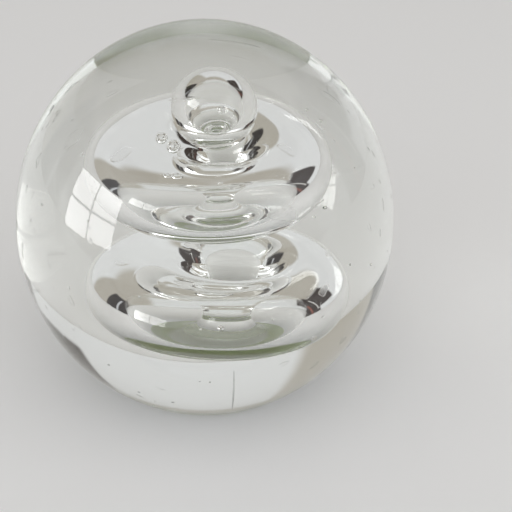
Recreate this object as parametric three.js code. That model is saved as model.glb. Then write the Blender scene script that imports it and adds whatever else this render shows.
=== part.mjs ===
// Clear glass paperweight with three trapped-air forms on its axis: a round ball above two
// flattened rings. It is built as it was made hot, in three gathers of glass, one over the next:
//
//   core_gather   the first gather, a post with two deep jacked grooves and a poked cup on top
//   cover_gather  the second gather, which closes the grooves into rings and the cup into a ball
//   outer_gather  the last gather, blocked to the outer form
//
// All three run down to the ground and polished foot, where they end flush. In the real piece
// they are fused; here each is its own solid and keeps a small gap to the next.
//
// Units are millimetres, +Z is up, and the origin is the centre of the flat foot.

import * as THREE from 'three';

// Outer form: an upright ellipsoid cut off flat below its middle.
const BODY_RADIUS = 50;
const BODY_HALF_HEIGHT = 53;
const MIDDLE_HEIGHT = 43.5;
const FOOT_BEVEL = 0.6;

// Second gather: a slimmer ellipsoid cut off by the same flat foot.
const COVER_RADIUS = 34;
const COVER_HALF_HEIGHT = 51;
const COVER_MIDDLE_HEIGHT = 34.5;

// First gather: a straight post with a rounded shoulder.
const POST_RADIUS = 20;
const SHOULDER_HEIGHT = 60;
const LIP_RADIUS = 12;

// Trapped air. A ring's section is a rounded oval, thickest at its crest. Fullness 2 makes a
// side of it an ellipse, more makes it squarer; the throat is the side towards the waist.
const BALL = { radius: 8.2, halfHeight: 8.3, height: 67.8 };
const UPPER_RING = {
  rim: 22.6, crest: 12, waist: 3.2, halfHeight: 7.4, height: 54, fullness: 2.1, throat: 1.75,
};
const LOWER_RING = {
  rim: 22.4, crest: 13, waist: 6, halfHeight: 8, height: 28.9, fullness: 2.1, throat: 2,
};

// Gap kept between one gather and the next.
const GATHER_GAP = 0.3;

// Fineness of the lathed surfaces.
const TURN_SEGMENTS = 48;
const OUTER_STEPS = 22;
const COVER_STEPS = 18;
const RING_STEPS = 16;
const BALL_STEPS = 7;

const QUARTER_TURN = Math.PI / 2;

/** Points along an upright ellipse about the axis, between two angles above its middle. */
function ellipsePoints(radius, halfHeight, middle, fromAngle, toAngle, steps) {
  const curve = new THREE.EllipseCurve(
    0, middle, radius, halfHeight, fromAngle, toAngle, toAngle < fromAngle);
  return curve.getPoints(steps);
}

/** Angle on such an ellipse at which its surface passes a given height. */
function angleAtHeight(halfHeight, middle, height) {
  return Math.asin((height - middle) / halfHeight);
}

/** Point of a ring's section at an angle: 0 is its outer rim, half a turn is its waist. */
function ringPoint(ring, angle) {
  const outside = Math.cos(angle) > 0;
  const power = 2 / (outside ? ring.fullness : ring.throat);
  const reach = outside ? ring.rim - ring.crest : ring.waist - ring.crest;
  const up = Math.sign(Math.sin(angle)) * Math.abs(Math.sin(angle)) ** power;
  return new THREE.Vector2(
    ring.crest + reach * Math.abs(Math.cos(angle)) ** power,
    ring.height + ring.halfHeight * up);
}

/** Angle at which a ring's section crosses a radius outside its crest, above its middle. */
function ringAngleAtRadius(ring, radius) {
  const across = (radius - ring.crest) / (ring.rim - ring.crest);
  return Math.acos(across ** (ring.fullness / 2));
}

/** Points along a ring's section from one angle to another. */
function ringPoints(ring, fromAngle, toAngle) {
  const points = [];
  for (let step = 0; step <= RING_STEPS; step += 1) {
    points.push(ringPoint(ring, THREE.MathUtils.lerp(fromAngle, toAngle, step / RING_STEPS)));
  }
  return points;
}

/** Groove of a ring on the post: from its lower edge, round the waist, to its upper edge. */
function grooveOnPost(ring) {
  const edge = ringAngleAtRadius(ring, POST_RADIUS);
  return ringPoints(ring, 2 * Math.PI - edge, edge);
}

/** Groove of a ring in the cover's bore: from its upper edge, round the rim, to its lower edge. */
function grooveInBore(ring) {
  const edge = ringAngleAtRadius(ring, POST_RADIUS + GATHER_GAP);
  return ringPoints(ring, edge, -edge);
}

/** Rounded shoulder between the post's side and its lip, grown outwards by a margin. */
function shoulderPoints(margin) {
  const curve = new THREE.EllipseCurve(
    LIP_RADIUS, SHOULDER_HEIGHT,
    POST_RADIUS - LIP_RADIUS + margin, BALL.height - SHOULDER_HEIGHT + margin,
    0, QUARTER_TURN, false);
  return curve.getPoints(BALL_STEPS);
}

/** Lathe a profile, given as points from axis to axis, about +Z. */
function latheAboutAxis(points) {
  const profile = points.map((point) => new THREE.Vector2(Math.max(point.x, 0), point.y));
  profile[0].x = 0;
  profile[profile.length - 1].x = 0;
  const geometry = new THREE.LatheGeometry(profile, TURN_SEGMENTS);
  geometry.rotateX(QUARTER_TURN);
  return geometry;
}

/** First gather: foot, side with both grooves, shoulder, lip, and the cup under the ball. */
function coreProfile() {
  return [
    new THREE.Vector2(0, 0),
    new THREE.Vector2(POST_RADIUS, 0),
    ...grooveOnPost(LOWER_RING),
    ...grooveOnPost(UPPER_RING),
    ...shoulderPoints(0),
    ...ellipsePoints(BALL.radius, BALL.halfHeight, BALL.height, 0, -QUARTER_TURN, BALL_STEPS),
  ];
}

/** Second gather: its outside up from the foot, then the ball's roof and the grooved bore. */
function coverProfile() {
  const footAngle = angleAtHeight(COVER_HALF_HEIGHT, COVER_MIDDLE_HEIGHT, 0);
  const outside = ellipsePoints(
    COVER_RADIUS, COVER_HALF_HEIGHT, COVER_MIDDLE_HEIGHT, footAngle, QUARTER_TURN, COVER_STEPS);
  const roof = ellipsePoints(
    BALL.radius, BALL.halfHeight, BALL.height + GATHER_GAP, QUARTER_TURN, 0, BALL_STEPS);
  return [
    ...outside.reverse(),
    new THREE.Vector2(POST_RADIUS + GATHER_GAP, 0),
    ...grooveInBore(LOWER_RING).reverse(),
    ...grooveInBore(UPPER_RING).reverse(),
    ...shoulderPoints(GATHER_GAP),
    ...roof.reverse(),
  ].reverse();
}

/** Last gather: the bore round the cover, then the bevelled foot and the outer form. */
function outerProfile() {
  const boreRadius = COVER_RADIUS + GATHER_GAP;
  const boreHalfHeight = COVER_HALF_HEIGHT + GATHER_GAP;
  const boreFoot = angleAtHeight(boreHalfHeight, COVER_MIDDLE_HEIGHT, 0);
  const bevelTop = angleAtHeight(BODY_HALF_HEIGHT, MIDDLE_HEIGHT, FOOT_BEVEL);
  const outside = ellipsePoints(
    BODY_RADIUS, BODY_HALF_HEIGHT, MIDDLE_HEIGHT, bevelTop, QUARTER_TURN, OUTER_STEPS);
  return [
    ...ellipsePoints(
      boreRadius, boreHalfHeight, COVER_MIDDLE_HEIGHT, QUARTER_TURN, boreFoot, COVER_STEPS),
    new THREE.Vector2(outside[0].x - FOOT_BEVEL, 0),
    ...outside,
  ];
}

/** One gather as a named mesh of clear, faintly green glass. */
function gatherMesh(name, profile, colour) {
  const glass = new THREE.MeshStandardMaterial({ color: colour, roughness: 0.02, metalness: 0 });
  const mesh = new THREE.Mesh(latheAboutAxis(profile), glass);
  mesh.name = name;
  return mesh;
}

const paperweight = new THREE.Group();
paperweight.add(gatherMesh('core_gather', coreProfile(), 0xdfe8d8));
paperweight.add(gatherMesh('cover_gather', coverProfile(), 0xe4ebdf));
paperweight.add(gatherMesh('outer_gather', outerProfile(), 0xe9efe6));

export default paperweight;
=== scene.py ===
"""Looks of a clear glass paperweight, built round its packed gathers.

The gathers are fused in the real piece. They are shown as one solid of glass, and the air that
they trap is left inside it as voids: a ball, two flattened rings round a waisted core, and seeds.
Lengths are in metres, +Z is up, and the origin is the centre of the flat foot.
"""

import logging
import math
import random
from contextlib import contextmanager
from dataclasses import dataclass, field
from enum import Enum
from itertools import pairwise, product
from typing import Callable, Iterator, Sequence

import bpy
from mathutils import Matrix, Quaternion, Vector


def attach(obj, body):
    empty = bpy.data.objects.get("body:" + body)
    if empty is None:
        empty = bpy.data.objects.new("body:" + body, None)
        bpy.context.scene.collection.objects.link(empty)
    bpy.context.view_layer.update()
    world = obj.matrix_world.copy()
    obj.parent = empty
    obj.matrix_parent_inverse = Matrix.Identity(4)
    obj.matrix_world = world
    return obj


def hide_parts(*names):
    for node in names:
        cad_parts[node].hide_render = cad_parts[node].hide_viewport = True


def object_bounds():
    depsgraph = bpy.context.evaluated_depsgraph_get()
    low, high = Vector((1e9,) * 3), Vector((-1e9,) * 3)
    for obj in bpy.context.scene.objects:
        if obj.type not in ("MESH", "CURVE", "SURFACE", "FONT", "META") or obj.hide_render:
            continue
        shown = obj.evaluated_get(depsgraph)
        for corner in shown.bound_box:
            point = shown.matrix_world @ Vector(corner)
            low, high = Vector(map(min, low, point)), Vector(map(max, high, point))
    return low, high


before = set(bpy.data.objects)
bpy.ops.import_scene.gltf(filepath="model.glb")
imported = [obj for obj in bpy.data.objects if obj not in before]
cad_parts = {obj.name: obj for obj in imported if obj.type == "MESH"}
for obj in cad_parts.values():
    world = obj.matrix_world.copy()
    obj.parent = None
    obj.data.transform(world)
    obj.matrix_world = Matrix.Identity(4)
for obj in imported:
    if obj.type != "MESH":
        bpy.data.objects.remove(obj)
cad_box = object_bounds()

log = logging.getLogger("paperweight")

MM = 0.001
MERGE_DISTANCE = 1e-7

Colour = tuple[float, float, float]
Point = tuple[float, float]
Span = tuple[float, float]
Triple = tuple[float, float, float]


class Wall(Enum):
    """Which way the faces of a closed surface look."""

    SOLID = "glass inside, air outside"
    VOID = "air inside, glass outside"


# ---------------------------------------------------------------------------------------------
# Modelling helpers
# ---------------------------------------------------------------------------------------------


def deselect_all() -> None:
    """Leave no object selected, so that an operator acts only on what it is given."""
    bpy.ops.object.select_all(action="DESELECT")


def pick(piece: bpy.types.Object) -> None:
    """Select one piece alone and make it the active one.

    Args:
        piece: The piece.
    """
    deselect_all()
    piece.select_set(True)
    bpy.context.view_layer.objects.active = piece


@contextmanager
def editing(piece: bpy.types.Object) -> Iterator[None]:
    """Hold a piece in edit mode with all of its mesh selected.

    Args:
        piece: The mesh object to edit.
    """
    pick(piece)
    bpy.ops.object.mode_set(mode="EDIT")
    bpy.ops.mesh.select_mode(type="VERT")
    bpy.ops.mesh.select_all(action="SELECT")
    try:
        yield
    finally:
        bpy.ops.object.mode_set(mode="OBJECT")


@contextmanager
def editing_points(piece: bpy.types.Object, chosen: Callable[[Vector], bool]) -> Iterator[None]:
    """Hold a piece in edit mode with only some of its points selected.

    Args:
        piece: The mesh object to edit.
        chosen: Tells from a point's place whether it is selected.
    """
    with editing(piece):
        bpy.ops.mesh.select_all(action="DESELECT")
    for vertex in piece.data.vertices:
        vertex.select = chosen(vertex.co)
    bpy.ops.object.mode_set(mode="EDIT")
    try:
        yield
    finally:
        bpy.ops.object.mode_set(mode="OBJECT")


def settle(piece: bpy.types.Object) -> None:
    """Put a piece's place, turn and scale into its mesh.

    Args:
        piece: The piece, which ends at the origin, unturned and unscaled.
    """
    pick(piece)
    bpy.ops.object.transform_apply(location=True, rotation=True, scale=True)


def close_surface(piece: bpy.types.Object, wall: Wall) -> None:
    """Merge a surface's seams and turn its faces out of the glass.

    Args:
        piece: The closed surface.
        wall: Whether the glass is inside the surface or outside it.
    """
    with editing(piece):
        bpy.ops.mesh.remove_doubles(threshold=MERGE_DISTANCE)
        bpy.ops.mesh.normals_make_consistent(inside=False)
        if wall is Wall.VOID:
            bpy.ops.mesh.flip_normals()


def round_blank(name: str, radii: Sequence[float], centre: Sequence[float],
                cuts: int) -> bpy.types.Object:
    """Make a cube, round it to a ball and stretch it to three radii.

    Args:
        name: The piece's name.
        radii: Its radius along X, Y and Z.
        centre: Its centre.
        cuts: How many cuts divide each edge of the cube.

    Returns:
        The rounded piece, with its place in its mesh.
    """
    deselect_all()
    bpy.ops.mesh.primitive_cube_add(size=2 * radii[0])
    piece = bpy.context.object
    piece.name = name
    piece.data.name = name
    with editing(piece):
        bpy.ops.mesh.subdivide(number_cuts=cuts)
        bpy.ops.transform.tosphere(value=1.0)
    widest = max(vertex.co.length for vertex in piece.data.vertices)
    with editing(piece):
        bpy.ops.transform.resize(
            value=tuple(radius / widest for radius in radii), center_override=(0, 0, 0))
        bpy.ops.transform.translate(value=tuple(centre))
    return piece


def turned(name: str, outline: Sequence[Point], steps: int) -> bpy.types.Object:
    """Draw an outline point by point beside the axis and spin it round.

    Args:
        name: The piece's name.
        outline: Points of (distance from the axis, height); the last repeats the first.
        steps: How many steps the full turn takes.

    Returns:
        The turned surface, not yet merged.
    """
    deselect_all()
    radius, height = outline[0]
    bpy.ops.mesh.primitive_plane_add(size=MM, location=(radius, 0, height))
    piece = bpy.context.object
    piece.name = name
    piece.data.name = name
    settle(piece)
    with editing(piece):
        bpy.ops.mesh.merge(type="CENTER")
        for (from_radius, from_height), (to_radius, to_height) in pairwise(outline):
            step = (to_radius - from_radius, 0, to_height - from_height)
            bpy.ops.mesh.extrude_region_move(TRANSFORM_OT_translate={"value": step})
        bpy.ops.mesh.select_all(action="SELECT")
        bpy.ops.mesh.spin(steps=steps, angle=math.tau, center=(0, 0, 0), axis=(0, 0, 1))
    return piece


def wobble(piece: bpy.types.Object, swell: float, spacing: float) -> None:
    """Swell and sink a surface gently, as hot glass settles by hand.

    Args:
        piece: The surface.
        swell: How far it moves between its lowest and highest places.
        spacing: Distance from one swelling to the next.
    """
    clouds = bpy.data.textures.new("hand_worked", type="CLOUDS")
    clouds.noise_scale = spacing
    clouds.noise_depth = 0
    pick(piece)
    displace = piece.modifiers.new("hand_worked", "DISPLACE")
    displace.texture = clouds
    displace.texture_coords = "GLOBAL"
    displace.strength = swell
    displace.mid_level = 0.5
    bpy.ops.object.modifier_apply(modifier=displace.name)
    bpy.data.textures.remove(clouds)


def shade(piece: bpy.types.Object, crease_degrees: float) -> None:
    """Shade a piece smooth, keeping edges sharper than an angle crisp.

    Args:
        piece: The piece.
        crease_degrees: Angle between two faces above which their edge stays crisp.
    """
    pick(piece)
    bpy.ops.object.shade_smooth_by_angle(angle=math.radians(crease_degrees))


# ---------------------------------------------------------------------------------------------
# Finishes
# ---------------------------------------------------------------------------------------------


class Nodes:
    """Short ways to place and join shader nodes in one node tree."""

    def __init__(self, tree: bpy.types.NodeTree) -> None:
        """Start on a node tree."""
        self.tree = tree

    def add(self, kind: str, **values: object) -> bpy.types.Node:
        """Place a node and set its properties.

        Args:
            kind: The node's type name.
            **values: Properties of the node by name.

        Returns:
            The new node.
        """
        node = self.tree.nodes.new(kind)
        for name, value in values.items():
            setattr(node, name, value)
        return node

    def feed(self, socket: bpy.types.NodeSocket, value: object) -> None:
        """Link a socket to another, or set its own value.

        Args:
            socket: The input to feed.
            value: Another node's output, or a plain value.
        """
        if isinstance(value, bpy.types.NodeSocket):
            self.tree.links.new(value, socket)
        else:
            socket.default_value = value

    def math(self, operation: str, *values: object) -> bpy.types.NodeSocket:
        """Do one step of arithmetic.

        Args:
            operation: Name of the operation.
            *values: Numbers or sockets, in the operation's order.

        Returns:
            The result's socket.
        """
        node = self.add("ShaderNodeMath", operation=operation)
        for socket, value in zip(node.inputs, values):
            self.feed(socket, value)
        return node.outputs[0]

    def between(self, value: object, low: float, high: float) -> bpy.types.NodeSocket:
        """Rise smoothly from 0 at one value to 1 at another.

        Args:
            value: Number or socket that is looked at.
            low: Value at which the rise starts.
            high: Value at which it ends.

        Returns:
            A socket from 0 to 1.
        """
        node = self.add("ShaderNodeMapRange", interpolation_type="SMOOTHSTEP")
        self.feed(node.inputs["Value"], value)
        node.inputs["From Min"].default_value = low
        node.inputs["From Max"].default_value = high
        return node.outputs["Result"]

    def blend(self, amount: object, first: object, second: object) -> bpy.types.NodeSocket:
        """Blend two colours.

        Args:
            amount: Share of the second colour, from 0 to 1.
            first: Colour or socket shown at 0.
            second: Colour or socket shown at 1.

        Returns:
            The blended colour's socket.
        """
        node = self.add("ShaderNodeMix", data_type="RGBA")
        self.feed(node.inputs[0], amount)
        self.feed(node.inputs[6], first)
        self.feed(node.inputs[7], second)
        return node.outputs[2]


def opaque(colour: Colour) -> tuple[float, float, float, float]:
    """Give a colour its full alpha."""
    return (*colour, 1.0)


@dataclass(frozen=True)
class HandlingMarks:
    """Smudges, hairline scratches and slow ripples that making and handling leave."""

    name: str = "handling_marks"
    smudge_detail: float = 4.0
    smudge_roughness: float = 0.62
    smudge_edge: Span = (0.55, 0.78)
    scratch_turn: Triple = (0.4, 0.9, 0.3)
    scratch_stretch: Triple = (1.0, 14.0, 9.0)
    scratch_detail: float = 1.0
    scratch_edge: Span = (0.70, 0.72)
    ripple_detail: float = 1.5
    ripple_scale: float = 38.0

    def group(self) -> bpy.types.ShaderNodeTree:
        """Build the node group once, or give the one that is already built.

        Returns:
            A group with inputs Vector, Smudge Scale and Scratch Scale, and outputs Smudge,
            Scratch and Ripple, each from 0 to 1.
        """
        if self.name in bpy.data.node_groups:
            return bpy.data.node_groups[self.name]
        tree = bpy.data.node_groups.new(self.name, "ShaderNodeTree")
        face = tree.interface
        face.new_socket("Vector", in_out="INPUT", socket_type="NodeSocketVector")
        for scale in ("Smudge Scale", "Scratch Scale"):
            face.new_socket(scale, in_out="INPUT", socket_type="NodeSocketFloat")
        for mark in ("Smudge", "Scratch", "Ripple"):
            face.new_socket(mark, in_out="OUTPUT", socket_type="NodeSocketFloat")
        n = Nodes(tree)
        given = n.add("NodeGroupInput")
        result = n.add("NodeGroupOutput")

        cloud = n.add("ShaderNodeTexNoise")
        cloud.inputs["Detail"].default_value = self.smudge_detail
        cloud.inputs["Roughness"].default_value = self.smudge_roughness
        n.feed(cloud.inputs["Vector"], given.outputs["Vector"])
        n.feed(cloud.inputs["Scale"], given.outputs["Smudge Scale"])
        n.feed(result.inputs["Smudge"], n.between(cloud.outputs["Fac"], *self.smudge_edge))

        stretch = n.add("ShaderNodeMapping")
        stretch.inputs["Rotation"].default_value = self.scratch_turn
        stretch.inputs["Scale"].default_value = self.scratch_stretch
        n.feed(stretch.inputs["Vector"], given.outputs["Vector"])
        hair = n.add("ShaderNodeTexNoise")
        hair.inputs["Detail"].default_value = self.scratch_detail
        n.feed(hair.inputs["Vector"], stretch.outputs["Vector"])
        n.feed(hair.inputs["Scale"], given.outputs["Scratch Scale"])
        n.feed(result.inputs["Scratch"], n.between(hair.outputs["Fac"], *self.scratch_edge))

        swell = n.add("ShaderNodeTexNoise")
        swell.inputs["Detail"].default_value = self.ripple_detail
        swell.inputs["Scale"].default_value = self.ripple_scale
        n.feed(swell.inputs["Vector"], given.outputs["Vector"])
        n.feed(result.inputs["Ripple"], swell.outputs["Fac"])
        return tree

    def place(self, n: Nodes, spot: bpy.types.NodeSocket, smudge_scale: float,
              scratch_scale: float) -> bpy.types.Node:
        """Place the group in a material with that material's own scales.

        Args:
            n: The material's nodes.
            spot: Object coordinates.
            smudge_scale: Smudges to the metre.
            scratch_scale: Scratches to the metre.

        Returns:
            The group's node.
        """
        marks = n.add("ShaderNodeGroup", node_tree=self.group())
        n.feed(marks.inputs["Vector"], spot)
        marks.inputs["Smudge Scale"].default_value = smudge_scale
        marks.inputs["Scratch Scale"].default_value = scratch_scale
        return marks


@dataclass(frozen=True)
class GlassFinish:
    """Clear hot-worked glass, faintly green where it is thick, on a duller ground foot whose
    olive colour is painted shade of the board under the glass.
    """

    name: str = "clear_glass"
    surface: Colour = (0.985, 0.99, 0.982)
    smudged_surface: Colour = (0.955, 0.962, 0.95)
    # Painted shade: the foot's colours stand in for the dim board under the glass. They are olive
    # and darkest at the foot's rim, and lighter in its middle.
    painted_pontil_shade: Colour = (0.78, 0.82, 0.70)
    painted_rim_shade: Colour = (0.46, 0.56, 0.24)
    pontil_edge: Span = (15 * MM, 19 * MM)
    ground_edge: Span = (0.1 * MM, 0.3 * MM)
    skin_edge: Span = (0.90, 0.97)
    tint: Colour = (0.50, 0.62, 0.34)
    tint_density: float = 0.8
    index: float = 1.5
    smudge_scale: float = 60.0
    smudge_roughness: float = 0.035
    scratch_scale: float = 22.0
    scratch_roughness: float = 0.22
    scratch_depth: float = 0.03 * MM
    pontil_roughness: float = 0.28
    rim_roughness: float = 0.12
    ripple_height: float = 0.05 * MM
    marks: HandlingMarks = HandlingMarks()

    def material(self, skin: "OuterForm") -> bpy.types.Material:
        """Make the glass.

        Args:
            skin: The outer form, on which alone handling leaves its marks.

        Returns:
            The material.
        """
        material = bpy.data.materials.new(self.name)
        material.use_nodes = True
        n = Nodes(material.node_tree)
        glass = material.node_tree.nodes["Principled BSDF"]
        output = material.node_tree.nodes["Material Output"]
        spot = n.add("ShaderNodeTexCoord").outputs["Object"]

        marks = self.marks.place(n, spot, self.smudge_scale, self.scratch_scale)
        on_skin = self.skin_mask(n, spot, skin)
        smudge = n.math("MULTIPLY", marks.outputs["Smudge"], on_skin)
        scratch = n.math("MULTIPLY", marks.outputs["Scratch"], on_skin)
        ground, rim = self.foot_masks(n, spot)

        clear = n.blend(smudge, opaque(self.surface), opaque(self.smudged_surface))
        # Painted shade: the foot is coloured darker and olive, darkest at its rim, for the shaded
        # board seen through it.
        painted_foot_shade = n.blend(rim, opaque(self.painted_pontil_shade), opaque(self.painted_rim_shade))
        n.feed(glass.inputs["Base Color"], n.blend(ground, clear, painted_foot_shade))
        worn = n.math(
            "ADD", n.math("MULTIPLY", smudge, self.smudge_roughness),
            n.math("MULTIPLY", scratch, self.scratch_roughness))
        dull = n.math("ADD", self.pontil_roughness, n.math("MULTIPLY", rim, self.rim_roughness))
        n.feed(glass.inputs["Roughness"], n.math("ADD", worn, n.math("MULTIPLY", ground, dull)))
        n.feed(glass.inputs["Normal"], self.relief(n, marks.outputs["Ripple"], scratch))
        glass.inputs["Metallic"].default_value = 0.0
        glass.inputs["IOR"].default_value = self.index
        glass.inputs["Transmission Weight"].default_value = 1.0

        depth = n.add("ShaderNodeVolumeAbsorption")
        depth.inputs["Color"].default_value = opaque(self.tint)
        depth.inputs["Density"].default_value = self.tint_density
        n.feed(output.inputs["Volume"], depth.outputs["Volume"])
        return material

    def foot_masks(self, n: Nodes, spot: bpy.types.NodeSocket
                   ) -> tuple[bpy.types.NodeSocket, bpy.types.NodeSocket]:
        """Mask the ground foot, and its rim outside the middle, where the painted shade is darker
        and the foot rougher.

        Args:
            n: The material's nodes.
            spot: Object coordinates.

        Returns:
            Two sockets from 0 to 1: 1 on the foot, and 1 outside the foot's middle.
        """
        across = n.add("ShaderNodeSeparateXYZ")
        n.feed(across.inputs[0], spot)
        east, north, up = across.outputs
        ground = n.math("SUBTRACT", 1.0, n.between(up, *self.ground_edge))
        from_axis = n.math(
            "SQRT", n.math("ADD", n.math("POWER", east, 2.0), n.math("POWER", north, 2.0)))
        return ground, n.between(from_axis, *self.pontil_edge)

    def relief(self, n: Nodes, ripple: bpy.types.NodeSocket,
               scratch: bpy.types.NodeSocket) -> bpy.types.NodeSocket:
        """Raise the ripple and sink the scratches.

        Args:
            n: The material's nodes.
            ripple: Height of the ripple, from 0 to 1.
            scratch: Mask of the scratches.

        Returns:
            The normal's socket.
        """
        rippled = n.add("ShaderNodeBump")
        rippled.inputs["Strength"].default_value = 1.0
        rippled.inputs["Distance"].default_value = self.ripple_height
        n.feed(rippled.inputs["Height"], ripple)
        scratched = n.add("ShaderNodeBump", invert=True)
        scratched.inputs["Strength"].default_value = 1.0
        scratched.inputs["Distance"].default_value = self.scratch_depth
        n.feed(scratched.inputs["Height"], scratch)
        n.feed(scratched.inputs["Normal"], rippled.outputs["Normal"])
        return scratched.outputs["Normal"]

    def skin_mask(self, n: Nodes, spot: bpy.types.NodeSocket,
                  skin: "OuterForm") -> bpy.types.NodeSocket:
        """Mask of the outer surface: 1 on the skin, 0 on the walls of the trapped air.

        Args:
            n: The material's nodes.
            spot: Object coordinates.
            skin: The outer form.

        Returns:
            A socket from 0 to 1.
        """
        centred = n.add("ShaderNodeMapping", vector_type="TEXTURE")
        centred.inputs["Location"].default_value = (0, 0, skin.middle)
        centred.inputs["Scale"].default_value = (skin.radius, skin.radius, skin.half_height)
        n.feed(centred.inputs["Vector"], spot)
        from_middle = n.add("ShaderNodeVectorMath", operation="LENGTH")
        n.feed(from_middle.inputs[0], centred.outputs["Vector"])
        return n.between(from_middle.outputs["Value"], *self.skin_edge)


@dataclass(frozen=True)
class PaintedBoard:
    """Matte paint of the pale board that the paperweight stands on."""

    name: str = "pale_board"
    colour: Colour = (0.92, 0.93, 0.95)
    worn_colour: Colour = (0.90, 0.91, 0.93)
    roughness: float = 0.75
    worn_roughness: float = 0.1
    specular: float = 0.15
    smudge_scale: float = 6.0
    scratch_scale: float = 4.0
    marks: HandlingMarks = HandlingMarks()

    def material(self) -> bpy.types.Material:
        """Make the board's paint, with faint smudges in colour and gloss.

        Returns:
            The material.
        """
        material = bpy.data.materials.new(self.name)
        material.use_nodes = True
        n = Nodes(material.node_tree)
        paint = material.node_tree.nodes["Principled BSDF"]
        spot = n.add("ShaderNodeTexCoord").outputs["Object"]
        marks = self.marks.place(n, spot, self.smudge_scale, self.scratch_scale)
        smudge = marks.outputs["Smudge"]
        n.feed(paint.inputs["Base Color"],
               n.blend(smudge, opaque(self.colour), opaque(self.worn_colour)))
        n.feed(paint.inputs["Roughness"],
               n.math("ADD", self.roughness, n.math("MULTIPLY", smudge, self.worn_roughness)))
        paint.inputs["Specular IOR Level"].default_value = self.specular
        return material


# ---------------------------------------------------------------------------------------------
# The glass and the air in it
# ---------------------------------------------------------------------------------------------


@dataclass
class OuterForm:
    """The outside of the glass: an upright ellipsoid with a flat ground foot."""

    radius: float
    height: float
    middle_share: float = 43.5 / 96.5
    foot_bevel: float = 0.6 * MM
    bevel_segments: int = 3
    foot_inset: float = 5 * MM
    cuts: int = 63

    @property
    def middle(self) -> float:
        """Height of the widest place above the foot."""
        return self.height * self.middle_share

    @property
    def half_height(self) -> float:
        """From the widest place to the top."""
        return self.height - self.middle

    def build(self) -> bpy.types.Object:
        """Round the blank, cut its foot flat and ease the foot's edge.

        Returns:
            The outer form, closed.
        """
        radii = (self.radius, self.radius, self.half_height)
        piece = round_blank("outer_form", radii, (0, 0, self.middle), self.cuts)
        with editing(piece):
            bpy.ops.mesh.bisect(
                plane_co=(0, 0, 0), plane_no=(0, 0, 1), use_fill=True, clear_inner=True)
            bpy.ops.mesh.bevel(
                offset=self.foot_bevel, offset_type="WIDTH", segments=self.bevel_segments,
                affect="EDGES")
        self.inset_foot(piece)
        self.grind_foot(piece)
        close_surface(piece, Wall.SOLID)
        return piece

    def inset_foot(self, piece: bpy.types.Object) -> None:
        """Inset the flat face that the glass stands on, so that it shades flat up to its edge.

        Args:
            piece: The outer form, cut and bevelled.
        """
        with editing(piece):
            bpy.ops.mesh.select_all(action="DESELECT")
            bpy.ops.mesh.select_mode(type="FACE")
        largest = max(piece.data.polygons, key=lambda face: face.area)
        largest.select = True
        bpy.ops.object.mode_set(mode="EDIT")
        bpy.ops.mesh.inset(thickness=self.foot_inset)
        bpy.ops.object.mode_set(mode="OBJECT")

    def grind_foot(self, piece: bpy.types.Object) -> None:
        """Press every point of the foot onto one flat plane.

        Args:
            piece: The outer form, cut and bevelled, with its foot inset.
        """
        foot_radius = self.radius * math.sqrt(1 - (self.middle / self.half_height) ** 2)
        inner = foot_radius - 2 * self.foot_bevel

        def on_foot(place: Vector) -> bool:
            """Tell whether a point belongs to the foot or hangs below it."""
            return place.z < 0 or (place.z < self.foot_bevel and place.xy.length < inner)

        with editing_points(piece, on_foot):
            bpy.ops.transform.resize(value=(1, 1, 0), center_override=(0, 0, 0))


@dataclass
class BallVoid:
    """The ball of air closed in above the rings."""

    radius: float = 8.2 * MM
    half_height: float = 8.3 * MM
    height: float = 68.3 * MM
    aside: float = 2.0 * MM
    cuts: int = 27

    def build(self) -> bpy.types.Object:
        """Round the ball, very slightly drawn up.

        Returns:
            The ball's wall.
        """
        radii = (self.radius, self.radius, self.half_height)
        piece = round_blank("ball_void", radii, (self.aside, 0, self.height), self.cuts)
        close_surface(piece, Wall.VOID)
        return piece


@dataclass
class RingVoid:
    """A flattened ring of air round the core, with a rounded oval section.

    The section is thickest at its crest. Fullness 2 makes a side of it an ellipse, and more
    makes it squarer; the throat is the side towards the waist.
    """

    name: str
    rim: float
    crest: float
    waist: float
    half_height: float
    height: float
    fullness: float
    throat_fullness: float
    aside: float
    lean_degrees: float
    core_aside: float
    core_share: float = 0.25
    swell: float = 0.25 * MM
    swell_spacing: float = 14 * MM
    section_points: int = 56
    turn_steps: int = 144

    def outline(self) -> list[Point]:
        """Draw the ring's section beside the axis.

        Returns:
            Points of (distance from the axis, height); the last repeats the first.
        """
        points = []
        for step in range(self.section_points + 1):
            angle = math.tau * step / self.section_points
            outside = math.cos(angle) > 0
            above = math.sin(angle) > 0
            power = 2 / (self.fullness if outside else self.throat_fullness)
            across = abs(math.cos(angle)) ** power
            up = abs(math.sin(angle)) ** power
            reach = (self.rim if outside else self.waist) - self.crest
            rise = self.half_height if above else -self.half_height
            points.append((self.crest + reach * across, self.height + rise * up))
        return points

    def build(self) -> bpy.types.Object:
        """Turn the section round the axis, then lean it and set it aside as the air lies.

        Returns:
            The ring's wall.
        """
        piece = turned(self.name, self.outline(), self.turn_steps)
        with editing(piece):
            bpy.ops.mesh.remove_doubles(threshold=MERGE_DISTANCE)
            bpy.ops.transform.rotate(
                value=math.radians(self.lean_degrees), orient_axis="Y",
                center_override=(0, 0, self.height))
            bpy.ops.transform.translate(value=(self.aside, 0, 0))
        self.push_core(piece)
        close_surface(piece, Wall.VOID)
        wobble(piece, self.swell, self.swell_spacing)
        return piece

    def push_core(self, piece: bpy.types.Object) -> None:
        """Push the waist sideways, so that the core stands off the ring's middle.

        Args:
            piece: The ring, already set aside.
        """
        near = self.waist + self.core_share * (self.crest - self.waist)

        def on_core(place: Vector) -> bool:
            """Tell whether a point is on the waist, close to the core."""
            return math.hypot(place.x - self.aside, place.y) < near

        with editing_points(piece, on_core):
            bpy.ops.transform.translate(
                value=(self.core_aside, 0, 0), use_proportional_edit=True,
                proportional_edit_falloff="SMOOTH", proportional_size=self.rim - near)


@dataclass
class Seed:
    """One tiny bubble: its centre and radius in millimetres, and how far it is drawn out."""

    place: Triple
    radius: float
    stretch: float = 1.0


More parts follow.
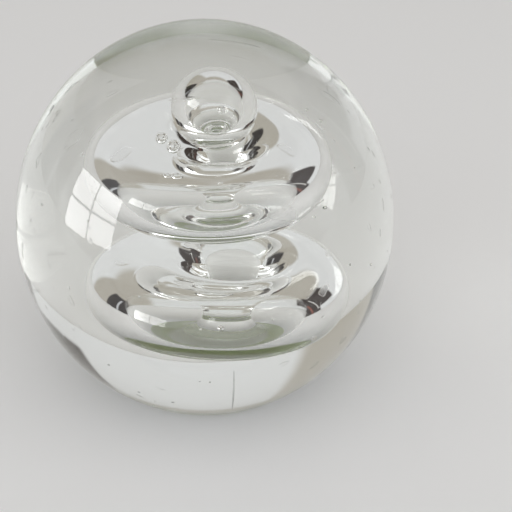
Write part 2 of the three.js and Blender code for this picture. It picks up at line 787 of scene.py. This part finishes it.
@dataclass
class Seeds:
    """The tiny bubbles scattered through the glass."""

    chosen: list[Seed] = field(default_factory=lambda: [
        Seed((-8.3, -9.0, 67.0), 1.2),
        Seed((-6.0, -10.5, 65.8), 1.4),
        Seed((3.6, -10.5, 74.5), 0.85),
        Seed((2.4, -24.5, 31.5), 0.62),
        Seed((-1.6, -24.8, 31.5), 0.34),
        Seed((-14.0, -27.0, 40.0), 0.30),
        Seed((21.0, -6.0, 72.0), 0.32),
        Seed((24.0, -7.0, 70.0), 0.36),
        Seed((-9.0, -34.0, 12.0), 0.40),
        Seed((-17.0, -33.0, 14.5), 0.34),
        Seed((-14.5, -36.0, 9.0), 0.30),
        Seed((31.0, -24.0, 44.0), 0.28),
        Seed((5.2, -33.3, 15.2), 0.17, 48.0),
    ])
    scattered: int = 18
    scatter_reach: Span = (26, 38)
    scatter_height: Span = (20, 66)
    scatter_radius: Span = (0.12, 0.28)
    seed_number: int = 5
    cuts: int = 5

    def build(self) -> list[bpy.types.Object]:
        """Model one bubble and copy it to every place.

        Returns:
            The bubbles' walls.
        """
        pattern = round_blank("seed_void", (MM, MM, MM), (0, 0, 0), self.cuts)
        close_surface(pattern, Wall.VOID)
        pieces = [self.copy(pattern, seed) for seed in self.chosen + self.scatter()]
        bpy.data.objects.remove(pattern, do_unlink=True)
        return pieces

    def scatter(self) -> list[Seed]:
        """Place a few more at random in the thick glass outside the rings.

        Returns:
            The seeds, in the order drawn.
        """
        dice = random.Random(self.seed_number)
        seeds = []
        for _ in range(self.scattered):
            bearing = dice.uniform(0, math.tau)
            reach = dice.uniform(*self.scatter_reach)
            height = dice.uniform(*self.scatter_height)
            place = (reach * math.cos(bearing), reach * math.sin(bearing), height)
            seeds.append(Seed(place, dice.uniform(*self.scatter_radius)))
        return seeds

    @staticmethod
    def copy(pattern: bpy.types.Object, seed: Seed) -> bpy.types.Object:
        """Copy the pattern bubble with its own mesh to one seed's place and size.

        Args:
            pattern: A bubble of one millimetre radius at the origin.
            seed: The seed to copy it to.

        Returns:
            The copy.
        """
        piece = pattern.copy()
        piece.data = pattern.data.copy()
        bpy.context.scene.collection.objects.link(piece)
        piece.scale = (seed.radius, seed.radius, seed.radius * seed.stretch)
        piece.location = tuple(length * MM for length in seed.place)
        settle(piece)
        return piece


@dataclass
class Paperweight:
    """The whole glass: its outer form with every void fused into it."""

    outer: OuterForm
    ball: BallVoid = field(default_factory=BallVoid)
    upper_ring: RingVoid = field(default_factory=lambda: RingVoid(
        "upper_ring_void", rim=22.6 * MM, crest=12.0 * MM, waist=3.2 * MM,
        half_height=7.4 * MM, height=54.0 * MM, fullness=2.1, throat_fullness=1.75,
        aside=0.6 * MM, lean_degrees=-1.0, core_aside=2.6 * MM))
    lower_ring: RingVoid = field(default_factory=lambda: RingVoid(
        "lower_ring_void", rim=22.4 * MM, crest=13.0 * MM, waist=6.0 * MM,
        half_height=8.0 * MM, height=28.9 * MM, fullness=2.1, throat_fullness=2.0,
        aside=1.6 * MM, lean_degrees=-3.6, core_aside=2.6 * MM))
    seeds: Seeds = field(default_factory=Seeds)
    glass: GlassFinish = field(default_factory=GlassFinish)
    crease_degrees: float = 32.0

    def build(self) -> bpy.types.Object:
        """Model the glass and the air, and fuse them into one solid with voids.

        Returns:
            The fused glass.
        """
        body = self.outer.build()
        voids = [self.ball.build(), self.upper_ring.build(), self.lower_ring.build()]
        voids += self.seeds.build()
        deselect_all()
        for piece in [*voids, body]:
            piece.select_set(True)
        bpy.context.view_layer.objects.active = body
        bpy.ops.object.join()
        body.name = "fused_glass"
        body.data.name = "fused_glass"
        log.info("fused_glass: %d voids, %d faces", len(voids), len(body.data.polygons))
        return body

    def dress(self, body: bpy.types.Object) -> None:
        """Shade the glass, give it its finish and hang it on the frame.

        Args:
            body: The fused glass.
        """
        shade(body, self.crease_degrees)
        body.data.materials.clear()
        body.data.materials.append(self.glass.material(self.outer))
        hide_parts("core_gather", "cover_gather", "outer_gather")
        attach(body, "root")


# ---------------------------------------------------------------------------------------------
# Studio
# ---------------------------------------------------------------------------------------------


class RoomTone(Enum):
    """Colours of the room's parts."""

    BRIGHT_WALL = (1.34, 1.36, 1.39)
    WARM_WALL = (0.415, 0.388, 0.342)
    DARK_DOORWAY = (0.025, 0.02, 0.02)
    DOOR_FRAME = (0.45, 0.46, 0.48)
    DARK_SHELVES = (0.03, 0.02, 0.018)
    RED_SPINE = (0.22, 0.08, 0.06)
    PALE_SPINE = (0.45, 0.44, 0.42)


@dataclass(frozen=True)
class RoomPatch:
    """A soft-edged patch of the room, between two bearings and two heights.

    Bearing 0 is behind the camera and 90 is to its right; height is the sine of the elevation.
    """

    bearings: Span
    heights: Span
    tone: RoomTone
    softness: float = 0.05


@dataclass
class Room:
    """Soft even light from all round, with darker parts for the glass to mirror."""

    wall: Colour = (0.69, 0.694, 0.70)
    plain: Colour = (0.66, 0.66, 0.66)
    patches: tuple[RoomPatch, ...] = (
        RoomPatch((-75, 75), (0.05, 0.60), RoomTone.BRIGHT_WALL, 0.20),
        RoomPatch((-181, 181), (0.60, 1.20), RoomTone.WARM_WALL),
        RoomPatch((-158, -106), (-0.15, 0.75), RoomTone.WARM_WALL),
        RoomPatch((-129, -97), (-0.15, 0.54), RoomTone.DARK_DOORWAY, 0.03),
        RoomPatch((-113, -110), (-0.10, 0.45), RoomTone.DOOR_FRAME, 0.012),
        RoomPatch((96, 121), (-0.15, 0.68), RoomTone.DARK_SHELVES, 0.03),
        RoomPatch((116, 144), (0.16, 0.60), RoomTone.DARK_SHELVES, 0.03),
        RoomPatch((107, 110), (0.00, 0.42), RoomTone.RED_SPINE, 0.012),
        RoomPatch((117, 119), (0.10, 0.55), RoomTone.PALE_SPINE, 0.010),
    )

    def build(self) -> None:
        """Make the world's light, with a plain room where the camera looks past the glass."""
        world = bpy.data.worlds.new("room")
        bpy.context.scene.world = world
        world.use_nodes = True
        n = Nodes(world.node_tree)
        light = world.node_tree.nodes["Background"]
        direction = n.add("ShaderNodeSeparateXYZ")
        n.feed(direction.inputs[0], n.add("ShaderNodeTexCoord").outputs["Generated"])
        east, north, up = direction.outputs
        bearing = n.math("ARCTAN2", east, n.math("MULTIPLY", north, -1.0))
        colour = opaque(self.wall)
        for patch in self.patches:
            colour = n.blend(self.mask(n, bearing, up, patch), colour, opaque(patch.tone.value))
        seen = n.add("ShaderNodeLightPath").outputs["Is Camera Ray"]
        n.feed(light.inputs["Color"], n.blend(seen, colour, opaque(self.plain)))
        light.inputs["Strength"].default_value = 1.0

    @staticmethod
    def mask(n: Nodes, bearing: bpy.types.NodeSocket, up: bpy.types.NodeSocket,
             patch: RoomPatch) -> bpy.types.NodeSocket:
        """Mask one patch.

        Args:
            n: The world's nodes.
            bearing: Bearing of the direction, in radians.
            up: Sine of its elevation.
            patch: The patch.

        Returns:
            A socket from 0 outside the patch to 1 inside it.
        """
        edges = []
        for value, (low, high) in (
                (bearing, tuple(math.radians(angle) for angle in patch.bearings)),
                (up, patch.heights)):
            half = patch.softness
            edges.append(n.between(value, low - half, low + half))
            edges.append(n.math("SUBTRACT", 1.0, n.between(value, high - half, high + half)))
        inside = edges[0]
        for edge in edges[1:]:
            inside = n.math("MULTIPLY", inside, edge)
        return inside


@dataclass
class WindowLight:
    """A window of four panes at the left, mirrored by the glass but not lighting the board."""

    centre: Vector = field(default_factory=lambda: Vector((-0.95, -0.33, 0.24)))
    pane_width: float = 0.30
    pane_height: float = 0.22
    bar: float = 0.02
    radiance: float = 7.0

    def build(self, target: Vector) -> None:
        """Hang the panes so that they face the glass.

        Args:
            target: The point that the window faces.
        """
        turn = (target - self.centre).to_track_quat("-Z", "Y")
        for column, row in product((-1, 1), repeat=2):
            offset = Vector((column * (self.pane_width + self.bar) / 2,
                             row * (self.pane_height + self.bar) / 2, 0))
            self.hang_pane(self.centre + turn @ offset, turn)

    def hang_pane(self, place: Vector, turn: Quaternion) -> None:
        """Hang one pane.

        Args:
            place: The pane's centre.
            turn: The turn that faces it to the glass.
        """
        data = bpy.data.lights.new("window_pane", "AREA")
        data.shape = "RECTANGLE"
        data.size = self.pane_width
        data.size_y = self.pane_height
        data.energy = self.radiance * math.pi * self.pane_width * self.pane_height
        pane = bpy.data.objects.new("window_pane", data)
        bpy.context.scene.collection.objects.link(pane)
        pane.location = place
        pane.rotation_mode = "QUATERNION"
        pane.rotation_quaternion = turn
        pane.visible_camera = False
        pane.visible_diffuse = False


@dataclass
class Softbox:
    """A wide softbox overhead and in front that lifts the board, not mirrored in the glass."""

    size: float = 2.4
    height: float = 1.5
    radiance: float = 0.54
    forward: float = 1.0

    def build(self) -> None:
        """Hang the softbox level above the board, forward of the glass."""
        data = bpy.data.lights.new("softbox", "AREA")
        data.size = self.size
        data.energy = self.radiance * math.pi * self.size ** 2
        softbox = bpy.data.objects.new("softbox", data)
        bpy.context.scene.collection.objects.link(softbox)
        softbox.location = (0, -self.forward, self.height)
        softbox.visible_camera = False
        softbox.visible_glossy = False
        softbox.visible_transmission = False


@dataclass
class Board:
    """The pale floor under the glass."""

    half_size: float = 5.0
    drop: float = 0.02 * MM
    paint: PaintedBoard = field(default_factory=PaintedBoard)

    def build(self) -> None:
        """Lay the board just under the foot."""
        deselect_all()
        bpy.ops.mesh.primitive_plane_add(size=2 * self.half_size, location=(0, 0, -self.drop))
        board = bpy.context.object
        board.name = "board"
        settle(board)
        board.data.materials.append(self.paint.material())


@dataclass
class Viewpoint:
    """The camera: where it stands, and how far beside and below the glass's middle it looks."""

    elevation_degrees: float = 27.0
    distance_radii: float = 6.0
    right_degrees: float = 2.86
    down_degrees: float = 1.90
    lens: float = 78.5
    clip: Span = (0.01, 50.0)

    def build(self, centre: Vector, radius: float) -> None:
        """Stand the camera in front of the glass, looking down at it.

        Args:
            centre: Centre of the outer form.
            radius: Its radius.
        """
        data = bpy.data.cameras.new("camera")
        data.lens = self.lens
        data.clip_start, data.clip_end = self.clip
        camera = bpy.data.objects.new("camera", data)
        bpy.context.scene.collection.objects.link(camera)
        rise = math.radians(self.elevation_degrees)
        back = Vector((0, -math.cos(rise), math.sin(rise)))
        camera.location = centre + back * radius * self.distance_radii
        camera.rotation_mode = "XYZ"
        camera.rotation_euler = (
            math.radians(90 - self.elevation_degrees - self.down_degrees), 0,
            -math.radians(self.right_degrees))
        bpy.context.scene.camera = camera


@dataclass
class LightPaths:
    """How many times light may bend or bounce on its way through nested glass."""

    bounces: int = 32

    def apply(self) -> None:
        """Set the bounce limits of the path tracer."""
        cycles = bpy.context.scene.cycles
        cycles.max_bounces = self.bounces
        cycles.transmission_bounces = self.bounces
        cycles.glossy_bounces = self.bounces
        cycles.use_denoising = True


def main() -> None:
    """Build the paperweight, then the studio round it."""
    logging.basicConfig(level=logging.INFO, format="%(name)s: %(message)s")
    low, high = cad_box
    outer = OuterForm(radius=min(high.x, high.y), height=high.z - low.z)
    paperweight = Paperweight(outer)
    body = paperweight.build()
    paperweight.dress(body)
    centre = Vector((0, 0, outer.middle))
    Viewpoint().build(centre, outer.radius)
    Board().build()
    Room().build()
    WindowLight().build(centre)
    Softbox().build()
    LightPaths().apply()
    bpy.context.scene.view_settings.view_transform = "Standard"
    log.info("studio: board, room, window, softbox and camera")


if __name__ == "__main__":
    main()
